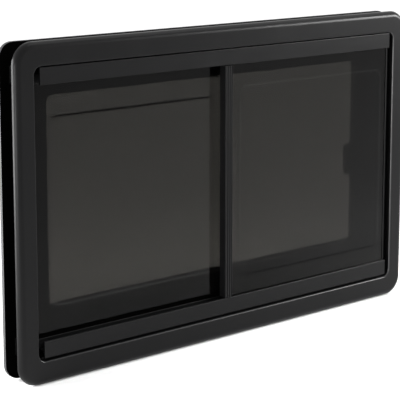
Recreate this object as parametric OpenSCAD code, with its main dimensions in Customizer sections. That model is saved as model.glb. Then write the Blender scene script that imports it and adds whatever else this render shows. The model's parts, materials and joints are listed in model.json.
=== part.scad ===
// Sliding caravan window: a fixed pane and a sliding pane in two tracks, held by an outer frame
// that clamps the vehicle wall against an inner frame with a roller blind and a fly screen.
// The window is drawn lying on its back, x to the right, y up the window and z out of the wall,
// with z = 0 on the outer skin of the wall, and stand() sets it upright.
// Upright, +X is to the right seen from outside, +Y leads into the vehicle and +Z is up.

/* [Wall] */
// Width of the cut-out in the wall
cutout_w = 900; // [700:10:1400]
// Height of the cut-out in the wall
cutout_h = 550; // [450:10:700]
// Gap between the cut-out and the neck on each side
cutout_gap = 1; // [0.5:0.5:3]
// Thickness of the wall that is clamped
wall_t = 41.6; // [36:0.2:60]

/* [Outer frame] */
// How far the outer flange covers the wall beyond the neck
flange_lap = 22; // [16:1:40]
// Thickness of the outer flange, and radius of its rounded edge
flange_t = 12; // [8:0.5:16]
// How far the flange reaches in from the neck at the sides
side_lip = 15.6; // [12:0.2:24]
// How far the flange reaches in from the neck at top and bottom
top_lip = 20; // [16:0.5:30]
// Corner radius of the neck
neck_r = 17; // [12:1:30]
// Wall thickness of the neck
neck_wall = 4; // [3:0.5:5]
// Depth of the neck behind the flange
neck_depth = 30; // [24:1:34]
// Corner radius of the opening in the flange
opening_r = 15; // [8:1:25]
// Radius of the rounded inner edge of the flange
opening_edge_r = 3.4; // [1:0.2:5]
// How far the tie lugs enter the inner frame
lug_entry = 2; // [1:0.5:4]
// Gap round a tie lug in its notch
lug_gap = 0.5; // [0.3:0.1:1]

/* [Rails] */
// Height of the face of a rail
rail_h = 29.8; // [24:0.2:36]
// Thickness of the front lip of a rail
rail_lip = 4; // [2.5:0.5:5]
// Radius of the rounded edges of the front lip
rail_round = 1.2; // [0.5:0.1:1.8]
// Thickness of the ribs and webs of a rail
rail_wall = 2; // [1.5:0.5:3]
// How far the front lip lies behind the face of the flange
rail_recess = 1.5; // [0.5:0.5:4]
// Gap between the top rail and the flange
rail_top_gap = 1.4; // [0.5:0.1:4]
// Gap between the bottom rail and the flange
rail_bottom_gap = 5; // [1:0.5:8]
// Gap between the end of a rail and the opening in the flange
rail_end_gap = 11.6; // [6:0.2:20]
// Depth of the tracks
track_depth = 17; // [14:0.5:19]
// Gap between a pane and each wall of its track
track_gap = 1.5; // [1:0.25:3]
// How far the panes enter the tracks
pane_entry = 10; // [7:0.5:12]

/* [Panes] */
// Thickness of the flat outer sheet
outer_sheet = 3; // [2:0.5:5]
// Thickness of the formed inner sheet
inner_sheet = 2; // [1.5:0.5:3]
// Depth of the formed step
pan_depth = 7; // [4:0.5:10]
// Width of the slope of the step
pan_slope = 6; // [3:0.5:10]
// Corner radius of the step
pan_r = 17; // [13:1:40]
// Flat margin beside the step at the meeting edges
meeting_margin = 38.5; // [30:0.5:60]
// Flat margin beside the step at the jambs
jamb_margin = 16; // [12:0.5:60]
// Flat margin of the fixed pane beside the step at its jamb
fixed_margin = 48; // [40:0.5:70]
// Visible margin of the sliding pane above the step
sliding_top_margin = 43; // [25:0.5:60]
// Visible margin of the sliding pane below the step
sliding_bottom_margin = 35; // [25:0.5:60]
// Visible margin of the fixed pane above the step
fixed_top_margin = 59; // [25:0.5:75]
// Visible margin of the fixed pane below the step
fixed_bottom_margin = 52; // [25:0.5:75]
// How far the panes overlap at the middle
pane_overlap = 27; // [20:0.5:40]
// Overlap centre, to the right of the middle of the window
overlap_x = 1; // [-40:1:40]
// Gap between the two panes
lane_gap = 5; // [4:0.5:8]
// Gap in which a pane is bedded in rubber or glue
bed_gap = 0.2; // [0.1:0.05:0.4]
// Thickness of the rubber round the fixed pane
gasket_t = 1.3; // [1:0.1:2.5]

/* [Meeting stile] */
// Width of the meeting stile
stile_w = 17.5; // [13:0.5:30]
// How far the stile stands in front of the sliding pane
stile_proud = 7; // [4:0.5:9]
// Thickness of the web beside the edge of the pane
stile_web = 3; // [2:0.5:5]
// Thickness of the leg behind the pane
stile_leg = 4.3; // [2:0.1:5]
// Number of grooves in the face of the stile
groove_count = 3; // [0:1:5]
// Width of the face from the last groove to the right edge of the stile
groove_land = 2.5; // [1.5:0.5:6]
// Radius of the rounded front edges of the stile
stile_round = 1.8; // [0.5:0.1:3]
// Width of a groove
groove_w = 1.8; // [0.8:0.2:2.4]
// Depth of a groove
groove_d = 1.2; // [0.5:0.1:2]
// Gap between the ends of the stile and the brush seals
stile_end_gap = 0.3; // [0.2:0.1:2]

/* [Seals] */
// Width of the brush between the stile and the fixed pane
brush_w = 5; // [3:0.5:8]
// Thickness of the brush seals in the rails
rail_brush_t = 1.2; // [0.8:0.1:1.4]
// Height of the brush seals in the rails
rail_brush_h = 8; // [5:0.5:14]
// How far the brush seals stand out of the rails
rail_brush_out = 1; // [0.5:0.5:2]
// Thickness of the strips round the pane edges
trim_t = 1.4; // [1:0.1:1.5]
// Width of the strip on the free edge of the fixed pane
interlock_w = 14.4; // [8:0.4:24]
// Width of the strip on the closing edge of the sliding pane
edge_cover = 3.5; // [2:0.5:8]
// Gap between a seal and what it closes on
seal_gap = 0.3; // [0.2:0.1:0.6]
// Diameter of the closing seal
closing_seal_d = 5; // [4:0.5:7]

/* [Jambs] */
// Wall thickness of the jambs
jamb_wall = 2; // [1.5:0.5:3]
// How far the jamb lips cover the fixed pane
jamb_cover = 12; // [8:0.5:20]
// Gap between the closing edge and the opening in the flange
closing_gap = 12.4; // [8:0.2:20]

/* [Gliders] */
// Length of a glider
glider_l = 40; // [20:1:80]
// Distance from the ends of the pane to the gliders
glider_inset = 45; // [20:1:120]
// Gap left between the latch and the fixed pane when the window is open
open_gap = 8; // [5:0.5:40]
// Length of a travel stop
stop_l = 16; // [8:1:30]

/* [Latch] */
// Width of the latch base
latch_w = 76; // [50:1:90]
// Height of the latch base
latch_h = 61; // [40:1:90]
// Thickness of the latch base
latch_t = 12; // [8:0.5:14]
// Corner radius of the latch base
latch_r = 5; // [4:1:16]
// Height of the latch above the middle of the window
latch_y = 2.5; // [-60:0.5:60]
// Width of the latch lever
lever_h = 24; // [16:1:36]
// How far the grip end of the lever stays inside the edge of the latch base
lever_inset = 8; // [4:1:16]
// Thickness of the latch lever
lever_t = 6; // [4:0.5:8]
// Radius of the latch pin
pin_r = 4; // [3:0.5:6]
// Height of the head of the latch pin
pin_head = 2; // [1:0.5:3]
// Running gap round the pin
pin_gap = 0.05; // [0.02:0.01:0.1]
// Thickness of the keeper
keeper_t = 4; // [3:0.5:6]

/* [Inner frame] */
// How far the inner frame covers the wall beyond the neck
inner_lap = 19; // [14:1:40]
// Thickness of the inner frame at its outer edge
inner_rim_t = 7.6; // [5:0.2:10]
// Thickness of the inner frame round its opening
inner_body_t = 13.4; // [11:0.2:20]
// Width of the slope between rim and body
inner_slope = 10; // [6:1:15]
// Corner radius of the inner frame
inner_r = 27.5; // [20:0.5:40]
// Border beside the opening of the inner frame
side_border = 91; // [80:1:130]
// Border above the opening of the inner frame
top_border = 97; // [90:1:140]
// Border below the opening of the inner frame
bottom_border = 111.5; // [100:0.5:150]
// Corner radius of the opening of the inner frame
view_r = 15; // [5:1:40]
// Wall thickness of the sleeve inside the neck
sleeve_wall = 3; // [2:0.5:4]
// Gap between the sleeve and the neck
sleeve_gap = 0.5; // [0.3:0.1:1]
// How far the sleeve enters the neck
sleeve_entry = 12; // [6:1:13]

/* [Blind and fly screen] */
// Depth of the lane for a pull bar
bar_lane = 9; // [7:0.5:12]
// Wall thickness of the guides
guide_wall = 2; // [1.5:0.5:3]
// Distance of the guides from the opening
guide_set = 26; // [2:1:30]
// Width of the flat face of the guides
guide_w = 28; // [22:1:36]
// Width of the sloping skirt of the guides
guide_skirt = 18; // [10:1:24]
// How far a pull bar enters the guides
bar_entry = 14; // [8:0.5:18]
// Height of a pull bar
bar_h = 15; // [10:0.5:25]
// Running gap of a pull bar in its guides
bar_gap = 0.5; // [0.3:0.1:1]
// Distance of the parked pull bars from the opening
bar_park = 1.5; // [1:0.5:6]
// Height of a cassette
cassette_h = 62; // [45:1:90]
// Depth of a cassette
cassette_d = 32; // [26:1:50]
// Radius of the rounded front edges of a cassette
cassette_r = 10; // [4:1:12]
// Wall thickness of a cassette
cassette_wall = 2; // [1.5:0.5:3]
// Thickness of a cassette cap
cap_t = 5; // [3:0.5:10]
// Diameter of the blind rolled up on its tube
roll_d = 24; // [16:1:26]

/* [Hidden] */
$fn = 48;
// Overlap with which cutters pass the faces that they cut
cut = 1;

// Outer frame
neck_w = cutout_w - 2 * cutout_gap;
neck_h = cutout_h - 2 * cutout_gap;
flange_w = neck_w + 2 * flange_lap;
flange_h = neck_h + 2 * flange_lap;
flange_r = neck_r + flange_lap;
opening_w = neck_w - 2 * side_lip;
opening_h = neck_h - 2 * top_lip;
hole_w = neck_w - 2 * neck_wall;
hole_h = neck_h - 2 * neck_wall;
hole_r = neck_r - neck_wall;
mid_z = (neck_h + flange_lap) / 2;

// Rails: the lips and lanes, counted down from the face of the front lip
rail_l = opening_w - 2 * rail_end_gap;
rail_face = flange_t - rail_recess;
step_level = outer_sheet + inner_sheet;
pane_t = step_level + pan_depth;
lane_w = pane_t + 2 * track_gap;
slide_lane = rail_face - rail_lip;
rib_face = slide_lane - lane_w;
slide_face = slide_lane - track_gap;
fixed_face = slide_face - pane_t - lane_gap;
fixed_lane = fixed_face + gasket_t + bed_gap;
rail_back = fixed_lane - step_level - 2 * gasket_t - 2 * bed_gap - rail_wall;
top_rail_edge = opening_h / 2 - rail_top_gap - rail_h;
bottom_rail_edge = -opening_h / 2 + rail_bottom_gap + rail_h;
leg_end = -neck_depth + sleeve_entry + 2 * sleeve_gap;

// Panes: their edges
pane_top = top_rail_edge + pane_entry;
pane_bottom = bottom_rail_edge - pane_entry;
fixed_right = overlap_x + pane_overlap / 2;
slide_left = overlap_x - pane_overlap / 2;
fixed_left = -opening_w / 2 - side_lip + neck_wall + sleeve_wall + sleeve_gap + 2 * jamb_wall;
slide_right = opening_w / 2 - closing_gap - trim_t;
stile_x = slide_left - bed_gap - stile_web;
interlock_x = fixed_right + bed_gap + trim_t;
stile_back = slide_face - step_level - bed_gap - stile_leg;
seal_edge_top = top_rail_edge - rail_brush_out;
seal_edge_bottom = bottom_rail_edge + rail_brush_out;

// Jambs
jamb_x = hole_w / 2 - sleeve_gap - sleeve_wall - sleeve_gap;
jamb_h = min(opening_h - 2, hole_h - 2 * hole_r);
seal_x = slide_right - (jamb_margin + edge_cover - trim_t) / 2;
seal_level = slide_face - step_level - seal_gap - closing_seal_d / 2;
shelf_x = seal_x - closing_seal_d / 2 - jamb_wall;
shelf_level = seal_level - closing_seal_d / 2 + jamb_wall;

// Latch
latch_level = slide_face - pane_t - bed_gap;
latch_right = slide_right - jamb_margin - pan_slope - 1;
latch_x = latch_right - latch_w / 2;
lever_level = latch_level - latch_t - pin_gap;
grip_reach = latch_w / 2 - lever_inset - lever_h / 2;
hook_level = lever_level - lever_t - seal_gap;

// Inner frame and what it carries
inner_w = neck_w + 2 * inner_lap;
inner_h = neck_h + 2 * inner_lap;
view_w = inner_w - 2 * side_border;
view_top = inner_h / 2 - top_border;
view_bottom = -inner_h / 2 + bottom_border;
view_h = view_top - view_bottom;
view_y = (view_top + view_bottom) / 2;
body_level = -wall_t - inner_body_t;
guide_t = 2 * bar_lane + 3 * guide_wall;
guide_top = view_top + bar_park + bar_h;
guide_bottom = view_bottom - bar_park - bar_h;
lip_x = view_w / 2 + guide_set;
lane_floor = lip_x + bar_entry + bar_gap;
bar_w = 2 * (lip_x + bar_entry);
bar_t = bar_lane - 2 * bar_gap;
blind_bar_level = body_level - guide_wall - bar_gap;
screen_bar_level = blind_bar_level - bar_lane - guide_wall;
cassette_l = 2 * (lip_x + guide_w);

// Stands the window up, with the middle of the flange's bottom strip at the origin
module stand() {
    translate([0, 0, mid_z]) rotate([90, 0, 0]) children();
}

// Rectangle with round corners, centred
module round_rect(w, h, r) {
    union() {
        square([w - 2 * r, h], center = true);
        square([w, h - 2 * r], center = true);
        for (x = [-1, 1], y = [-1, 1]) translate([x * (w / 2 - r), y * (h / 2 - r)]) circle(r);
    }
}

// Slab of that outline between two levels
module slab(w, h, r, low, high) {
    translate([0, 0, low]) linear_extrude(high - low) round_rect(w, h, r);
}

// Plain box between two corners
module block(x0, x1, y0, y1, z0, z1) {
    translate([x0, y0, z0]) cube([x1 - x0, y1 - y0, z1 - z0]);
}

// Section of a bar whose face lies at level 0, with its two front edges rounded
module front_rounded(w, depth, r) {
    union() {
        translate([r, -depth]) square([w - 2 * r, depth]);
        translate([0, -depth]) square([w, depth - r]);
        for (x = [r, w - r]) translate([x, -r]) circle(r);
    }
}

// Carries a profile round a rectangle with round corners. The profile's x is the distance outside
// that outline, and its y is the level.
module sweep_round(w, h, r) {
    for (side = [0, 1]) {
        rotate(180 * side) translate([w / 2, h / 2 - r, 0])
            rotate([90, 0, 0]) linear_extrude(h - 2 * r) children();
        rotate(180 * side) translate([-w / 2 + r, h / 2, 0])
            rotate([90, 0, 90]) linear_extrude(w - 2 * r) children();
        for (turn = [0, 1])
            rotate(180 * side) mirror([turn, 0, 0])
                translate([w / 2 - r, h / 2 - r, 0])
                    rotate_extrude(angle = 90) translate([r, 0]) children();
    }
}

// Bar with a constant profile along x; the profile's x is up the window and its y is the level
module along_x(x0, x1) {
    translate([x0, 0, 0]) rotate([90, 0, 90]) linear_extrude(x1 - x0) children();
}

// Bar with a constant profile along y; the profile's x is across the window and its y is the level
module along_y(y0, y1) {
    translate([0, y1, 0]) rotate([90, 0, 0]) linear_extrude(y1 - y0) children();
}

module outer_frame() {
    color("#26272a") stand() difference() {
        union() {
            slab(flange_w - 2 * flange_t, flange_h - 2 * flange_t, flange_r - flange_t, 0, flange_t);
            sweep_round(flange_w - 2 * flange_t, flange_h - 2 * flange_t, flange_r - flange_t)
                intersection() {
                    circle(flange_t);
                    square(flange_t);
                }
            slab(neck_w, neck_h, neck_r, -neck_depth, 0);
            tie_lugs(0, 0);
        }
        slab(opening_w, opening_h, opening_r, -cut, flange_t + cut);
        slab(hole_w, hole_h, hole_r, -neck_depth - cut, 0);
        translate([0, 0, flange_t]) sweep_round(opening_w, opening_h, opening_r) edge_cutter();
    }
}

// Cuts the rounded inner edge of the flange
module edge_cutter() {
    difference() {
        translate([-cut, -opening_edge_r]) square(opening_edge_r + cut);
        translate([opening_edge_r, -opening_edge_r]) circle(opening_edge_r);
    }
}

// Lugs that run back from the neck into the inner frame at the height of each rail
module tie_lugs(grow, deeper) {
    for (x = [-1, 1], y = [top_rail_edge, bottom_rail_edge - rail_h])
        block(min(x * neck_w / 2, x * hole_w / 2) - grow, max(x * neck_w / 2, x * hole_w / 2) + grow,
              y - grow, y + rail_h + grow, -wall_t - lug_entry - deeper, -neck_depth + cut);
}

// Twin-track profile: a deep front lip, two lanes parted by a rib, a hollow chamber behind the
// lip and two legs that stand on the neck. Its x runs from the mouth of the tracks.
module rail_profile(leg) {
    difference() {
        translate([0, rail_face]) front_rounded(rail_h, rail_face - rail_back, rail_round);
        translate([-cut, rib_face]) square([track_depth + cut, lane_w]);
        translate([-cut, rail_back + rail_wall])
            square([track_depth + cut, fixed_lane - rail_back - rail_wall]);
        translate([track_depth + rail_wall, rail_back + rail_wall])
            square([rail_h - track_depth - 2 * rail_wall, rail_face - rail_back - rail_lip - rail_wall]);
    }
    for (level = [leg_end, -bed_gap - rail_wall])
        translate([rail_h - rail_wall, level]) square([leg + rail_wall, rail_wall]);
}

module top_rail() {
    color("#2b2c2e") stand() translate([0, top_rail_edge, 0]) along_x(-rail_l / 2, rail_l / 2)
        rail_profile(hole_h / 2 - top_rail_edge - rail_h);
}

module bottom_rail() {
    color("#2b2c2e") stand() translate([0, bottom_rail_edge, 0]) mirror([0, 1, 0])
        along_x(-rail_l / 2, rail_l / 2) rail_profile(hole_h / 2 + bottom_rail_edge - rail_h);
}

// Foot on which a jamb stands on the neck
module jamb_foot() {
    translate([jamb_x - jamb_wall, leg_end]) square([hole_w / 2 - jamb_x + jamb_wall, jamb_wall]);
}

// Channel round the left edge of the fixed pane
module left_jamb() {
    floor_level = rail_back + rail_wall;
    color("#1c1c1e") stand() mirror([1, 0, 0]) along_y(-jamb_h / 2, jamb_h / 2) union() {
        difference() {
            translate([jamb_x - jamb_wall - jamb_cover, floor_level - jamb_wall])
                square([jamb_wall + jamb_cover, fixed_lane - floor_level + 2 * jamb_wall]);
            translate([jamb_x - jamb_wall - jamb_cover - cut, floor_level])
                square([jamb_cover + cut, fixed_lane - floor_level]);
        }
        jamb_foot();
    }
}

// Closing post at the right, with a shelf behind the edge of the sliding pane that has a groove
// for the seal
module right_jamb() {
    color("#1c1c1e") stand() union() {
        along_y(-jamb_h / 2, jamb_h / 2) {
            translate([jamb_x - jamb_wall, rail_back]) square([jamb_wall, shelf_level - rail_back]);
            jamb_foot();
        }
        along_y(bottom_rail_edge, top_rail_edge) difference() {
            translate([shelf_x, shelf_level - 2 * jamb_wall])
                square([jamb_x - shelf_x, 2 * jamb_wall]);
            translate([seal_x, seal_level]) circle(closing_seal_d / 2 + bed_gap);
        }
    }
}

// Formed sheet: a flat margin bonded to the outer sheet and a shallow pan with sloping sides
module formed_sheet(left, right, x0, x1, y0, y1, bottom, top) {
    w = x1 - x0;
    h = y1 - y0;
    lean = inner_sheet * pan_slope / pan_depth;
    wall = inner_sheet * sqrt(pow(pan_slope, 2) + pow(pan_depth, 2)) / pan_depth;
    union() {
        difference() {
            block(left, right, bottom, top, -inner_sheet, 0);
            translate([(x0 + x1) / 2, (y0 + y1) / 2, 0]) slab(w, h, pan_r, -inner_sheet - cut, cut);
        }
        translate([(x0 + x1) / 2, (y0 + y1) / 2, 0]) {
            sweep_round(w, h, pan_r) polygon([
                [0, 0], [wall - lean, 0], [wall - lean, -inner_sheet],
                [wall - lean - pan_slope, -inner_sheet - pan_depth],
                [-pan_slope, -inner_sheet - pan_depth], [-pan_slope, -pan_depth],
            ]);
            slab(w - 2 * pan_slope, h - 2 * pan_slope, pan_r - pan_slope,
                 -inner_sheet - pan_depth, -pan_depth);
        }
    }
}

module fixed_outer_sheet() {
    color("#33322f", 0.6) stand()
        block(fixed_left, fixed_right, pane_bottom, pane_top, fixed_face - outer_sheet, fixed_face);
}

module fixed_inner_sheet() {
    color("#33322f", 0.6) stand() translate([0, 0, fixed_face - outer_sheet])
        formed_sheet(fixed_left, fixed_right,
                     fixed_left + fixed_margin, fixed_right - meeting_margin,
                     bottom_rail_edge + fixed_bottom_margin, top_rail_edge - fixed_top_margin,
                     pane_bottom, pane_top);
}

// Rubber channel round three edges of the fixed pane
module fixed_pane_gasket() {
    cover = pane_entry - gasket_t;
    right = interlock_x - interlock_w - seal_gap;
    back = fixed_face - step_level;
    color("#111112") stand() difference() {
        block(fixed_left - gasket_t, right, pane_bottom - gasket_t, pane_top + gasket_t,
              back - gasket_t, fixed_face + gasket_t);
        block(fixed_left, right + cut, pane_bottom, pane_top, back, fixed_face);
        block(fixed_left + cover, right + cut, pane_bottom + cover, pane_top - cover,
              back - gasket_t - cut, fixed_face + gasket_t + cut);
    }
}

// Channel on the free edge of the fixed pane, behind the meeting stile
module interlock_strip() {
    color("#1c1c1e") stand() along_y(seal_edge_bottom, seal_edge_top) difference() {
        translate([interlock_x - interlock_w, fixed_face - step_level - bed_gap - trim_t])
            square([interlock_w, step_level + 2 * bed_gap + 2 * trim_t]);
        translate([fixed_right - meeting_margin, fixed_face - step_level - bed_gap])
            square([meeting_margin + bed_gap, step_level + 2 * bed_gap]);
    }
}

module sliding_outer_sheet() {
    color("#3a3936", 0.6) stand()
        block(slide_left, slide_right, pane_bottom, pane_top, slide_face - outer_sheet, slide_face);
}

module sliding_inner_sheet() {
    color("#3a3936", 0.6) stand() translate([0, 0, slide_face - outer_sheet])
        formed_sheet(slide_left, slide_right,
                     slide_left + meeting_margin, slide_right - jamb_margin,
                     bottom_rail_edge + sliding_bottom_margin, top_rail_edge - sliding_top_margin,
                     pane_bottom, pane_top);
}

// Grooved grip that holds the meeting edge of the sliding pane in a channel
module meeting_stile() {
    face = slide_face + stile_proud;
    pitch = (stile_w - groove_land) / max(groove_count, 1);
    color("#2e2e30") stand() along_y(seal_edge_bottom + stile_end_gap, seal_edge_top - stile_end_gap)
        difference() {
            translate([stile_x, face]) front_rounded(stile_w, face - stile_back, stile_round);
            translate([slide_left - bed_gap, slide_face - step_level - bed_gap])
                square([stile_w, step_level + 2 * bed_gap]);
            for (i = [1 : 1 : groove_count])
                translate([stile_x + i * pitch - groove_w / 2, face - groove_d])
                    square([groove_w, groove_d + cut]);
        }
}

// Brush on the back of the stile that wipes the fixed pane
module stile_brush() {
    color("#0c0c0d") stand() block(stile_x + stile_web, stile_x + stile_web + brush_w,
                                   seal_edge_bottom + stile_end_gap, seal_edge_top - stile_end_gap,
                                   fixed_face + seal_gap, stile_back);
}

// Strip round the closing edge of the sliding pane
module closing_edge_strip() {
    color("#39393b") stand() along_y(seal_edge_bottom, seal_edge_top) difference() {
        translate([slide_right + trim_t - edge_cover, slide_face - step_level - trim_t])
            square([edge_cover, step_level + 2 * trim_t]);
        translate([slide_right - edge_cover, slide_face - step_level]) square([edge_cover, step_level]);
    }
}

// Round seal in the groove of the right jamb
module closing_seal() {
    color("#0c0c0d") stand() translate([seal_x, seal_edge_top, seal_level])
        rotate([90, 0, 0]) cylinder(h = seal_edge_top - seal_edge_bottom, r = closing_seal_d / 2);
}

// Brush on the inner side of a front lip, just outside the sliding pane
module rail_brush() {
    translate([-rail_brush_out, slide_lane - rail_brush_t])
        square([rail_brush_h, rail_brush_t]);
}

module top_brush_seal() {
    color("#0c0c0d") stand() translate([0, top_rail_edge, 0])
        along_x(-rail_l / 2, rail_l / 2) rail_brush();
}

module bottom_brush_seal() {
    color("#0c0c0d") stand() translate([0, bottom_rail_edge, 0]) mirror([0, 1, 0])
        along_x(-rail_l / 2, rail_l / 2) rail_brush();
}

// Shoe round an edge of the sliding pane that runs on the floor of its track; its x runs from
// the edge of the pane towards the floor of the track
module glider_pair() {
    for (x = [slide_left + glider_inset, slide_right - glider_inset - glider_l])
        along_x(x, x + glider_l) difference() {
            translate([rail_brush_h - pane_entry, rib_face + bed_gap])
                square([track_depth - rail_brush_h - bed_gap, lane_w - 2 * bed_gap]);
            translate([-pane_entry, slide_face - step_level]) square([pane_entry, step_level]);
        }
}

module top_gliders() {
    color("#d8d8d4") stand() translate([0, pane_top, 0]) glider_pair();
}

module bottom_gliders() {
    color("#d8d8d4") stand() translate([0, pane_bottom, 0]) mirror([0, 1, 0]) glider_pair();
}

// Block in the outer lane of a rail
module travel_stop() {
    travel = latch_x - latch_w / 2 - interlock_x - open_gap;
    stop_x = slide_left - travel - stop_l;
    along_x(stop_x, stop_x + stop_l)
        translate([rail_brush_h, rib_face]) square([track_depth - rail_brush_h, lane_w]);
}

// Blocks that end the movement of the sliding pane
module travel_stops() {
    color("#141415") stand() {
        translate([0, top_rail_edge, 0]) travel_stop();
        translate([0, bottom_rail_edge, 0]) mirror([0, 1, 0]) travel_stop();
    }
}

// Housing of the latch on the pan of the sliding pane
module latch_base() {
    color("#1f1f21") stand() translate([latch_x, latch_y, 0]) difference() {
        slab(latch_w, latch_h, latch_r, latch_level - latch_t, latch_level);
        translate([0, 0, latch_level - latch_t - cut]) cylinder(h = latch_t, r = pin_r + pin_gap);
    }
}

// Lever that turns on the pin, with a finger hole and a nose behind the keeper
module latch_lever() {
    reach = shelf_x + 2 * keeper_t - latch_x;
    color("#2a2a2d") stand() translate([latch_x, latch_y, lever_level - lever_t]) difference() {
        linear_extrude(lever_t) union() {
            circle(lever_h / 2);
            translate([-grip_reach, 0]) circle(lever_h / 2);
            translate([-grip_reach, -lever_h / 2]) square([grip_reach, lever_h]);
            translate([0, -lever_h / 4]) square([reach, lever_h / 2]);
        }
        translate([0, 0, -cut]) cylinder(h = lever_t + 2 * cut, r = pin_r + pin_gap);
    }
}

module latch_pin() {
    color("#8d8f92") stand() translate([latch_x, latch_y, lever_level - lever_t - pin_head])
        cylinder(h = pin_head + lever_t + latch_t - cut, r = pin_r);
}

// Hook on the right jamb that the nose of the lever goes behind
module latch_keeper() {
    shelf_back = shelf_level - 2 * jamb_wall;
    post_x = shelf_x + 2 * keeper_t + bed_gap;
    color("#1f1f21") stand() translate([0, latch_y, 0]) along_y(-lever_h / 2, lever_h / 2) union() {
        translate([post_x, hook_level - keeper_t]) square([keeper_t, shelf_back - hook_level + keeper_t]);
        translate([shelf_x, hook_level - keeper_t]) square([post_x - shelf_x + keeper_t, keeper_t]);
    }
}

// Clamping frame: a stepped trim round the view opening with a sleeve that slides into the neck
module inner_frame() {
    sleeve_w = hole_w - 2 * sleeve_gap;
    sleeve_h = hole_h - 2 * sleeve_gap;
    sleeve_r = hole_r - sleeve_gap;
    color("#1b1b1d") stand() difference() {
        union() {
            slab(inner_w, inner_h, inner_r, -wall_t - inner_rim_t, -wall_t);
            slab(inner_w - 2 * inner_slope, inner_h - 2 * inner_slope, inner_r - inner_slope,
                 body_level, -wall_t);
            sweep_round(inner_w - 2 * inner_slope, inner_h - 2 * inner_slope, inner_r - inner_slope)
                polygon([[0, -wall_t - inner_rim_t], [0, body_level],
                         [inner_slope, -wall_t - inner_rim_t]]);
            slab(sleeve_w, sleeve_h, sleeve_r, -wall_t - cut, -neck_depth + sleeve_entry);
        }
        slab(sleeve_w - 2 * sleeve_wall, sleeve_h - 2 * sleeve_wall, sleeve_r - sleeve_wall,
             -wall_t, cut);
        translate([0, view_y, 0]) slab(view_w, view_h, view_r, body_level - cut, cut);
        tie_lugs(lug_gap, lug_gap);
    }
}

// Side guide at the right: its outer wall slopes down to the frame
module guide() {
    outer_x = lip_x + guide_w;
    along_y(guide_bottom, guide_top) polygon([
        [lane_floor, body_level], [lane_floor, body_level - guide_t],
        [outer_x, body_level - guide_t], [outer_x + guide_skirt, body_level],
    ]);
}

// Strips on the inner wall of the guide at the right, which part the lanes of the two pull bars
module guide_strips() {
    for (i = [0 : 2])
        block(lip_x, lane_floor, guide_bottom, guide_top,
              body_level - i * (bar_lane + guide_wall) - guide_wall,
              body_level - i * (bar_lane + guide_wall));
}

module left_guide() {
    color("#202022") stand() mirror([1, 0, 0]) guide();
}

module right_guide() {
    color("#202022") stand() guide();
}

module left_guide_strips() {
    color("#161617") stand() mirror([1, 0, 0]) guide_strips();
}

module right_guide_strips() {
    color("#161617") stand() guide_strips();
}

// Outline of a cassette with its two round front edges, drawn inside its walls by inset. Its x
// runs away from the view.
module cassette_outline(inset) {
    r = cassette_r - inset;
    translate([0, body_level - cassette_d]) union() {
        translate([inset, cassette_r]) square([cassette_h - 2 * inset, cassette_d - cassette_r - inset]);
        translate([cassette_r, inset]) square([cassette_h - 2 * cassette_r, cassette_d - 2 * inset]);
        for (x = [cassette_r, cassette_h - cassette_r]) translate([x, cassette_r]) circle(r);
    }
}

// Housing of a roller: a hollow profile with a mouth for the fabric
module cassette_profile(mouth) {
    difference() {
        cassette_outline(0);
        cassette_outline(cassette_wall);
        translate([-cut, mouth - bar_t]) square([cassette_wall + 2 * cut, bar_t]);
    }
}

module place_blind() {
    translate([0, guide_top + bar_gap, 0]) children();
}

module place_screen() {
    translate([0, guide_bottom - bar_gap, 0]) mirror([0, 1, 0]) children();
}

module blind_cassette() {
    color("#202022") stand() place_blind()
        along_x(-cassette_l / 2, cassette_l / 2) cassette_profile(blind_bar_level);
}

module screen_cassette() {
    color("#202022") stand() place_screen()
        along_x(-cassette_l / 2, cassette_l / 2) cassette_profile(screen_bar_level);
}

// End caps of a cassette, which carry the roller
module cap_pair() {
    for (side = [0, 1]) mirror([side, 0, 0])
        along_x(cassette_l / 2, cassette_l / 2 + cap_t) cassette_outline(0);
}

module blind_cassette_caps() {
    color("#161617") stand() place_blind() cap_pair();
}

module screen_cassette_caps() {
    color("#161617") stand() place_screen() cap_pair();
}

// Fabric rolled up on its tube
module roll() {
    translate([-cassette_l / 2, cassette_h / 2, body_level - cassette_d / 2])
        rotate([0, 90, 0]) cylinder(h = cassette_l, r = roll_d / 2);
}

module blind_roll() {
    color("#b9b7b0") stand() place_blind() roll();
}

module screen_roll() {
    color("#4a4b4c") stand() place_screen() roll();
}

// Bar that draws the blind or the screen over the view, with a finger lip
module pull_bar(level) {
    difference() {
        block(-bar_w / 2, bar_w / 2, 0, bar_h, level - bar_t, level);
        block(-view_w / 2 + bar_h, view_w / 2 - bar_h, bar_h / 3, 2 * bar_h / 3, level - bar_t - cut,
              level - bar_t / 2);
    }
}

module blind_pull_bar() {
    color("#2a2a2d") stand() translate([0, view_top + bar_park, 0]) pull_bar(blind_bar_level);
}

module screen_pull_bar() {
    color("#2a2a2d") stand() translate([0, guide_bottom, 0]) pull_bar(screen_bar_level);
}

outer_frame();
top_rail();
bottom_rail();
left_jamb();
right_jamb();
fixed_outer_sheet();
fixed_inner_sheet();
fixed_pane_gasket();
interlock_strip();
sliding_outer_sheet();
sliding_inner_sheet();
meeting_stile();
stile_brush();
closing_edge_strip();
closing_seal();
top_brush_seal();
bottom_brush_seal();
top_gliders();
bottom_gliders();
travel_stops();
latch_base();
latch_lever();
latch_pin();
latch_keeper();
inner_frame();
left_guide();
left_guide_strips();
right_guide();
right_guide_strips();
blind_cassette();
blind_cassette_caps();
blind_roll();
blind_pull_bar();
screen_cassette();
screen_cassette_caps();
screen_roll();
screen_pull_bar();
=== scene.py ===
# %% [markdown]
# # A sliding caravan window, dressed for its portrait
# The object is a window for a vehicle wall. An outer frame with a rounded flange lies on the outer
# skin, two track rails carry a fixed and a sliding pane of smoke-tinted acrylic, and an inner frame
# with a blind and a fly screen clamps the wall from inside.
# The solids come from the CAD model. This lesson loads them as a fixed frame, then lays a finer
# surface over each visible one and gives every part a finish of its own.

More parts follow.
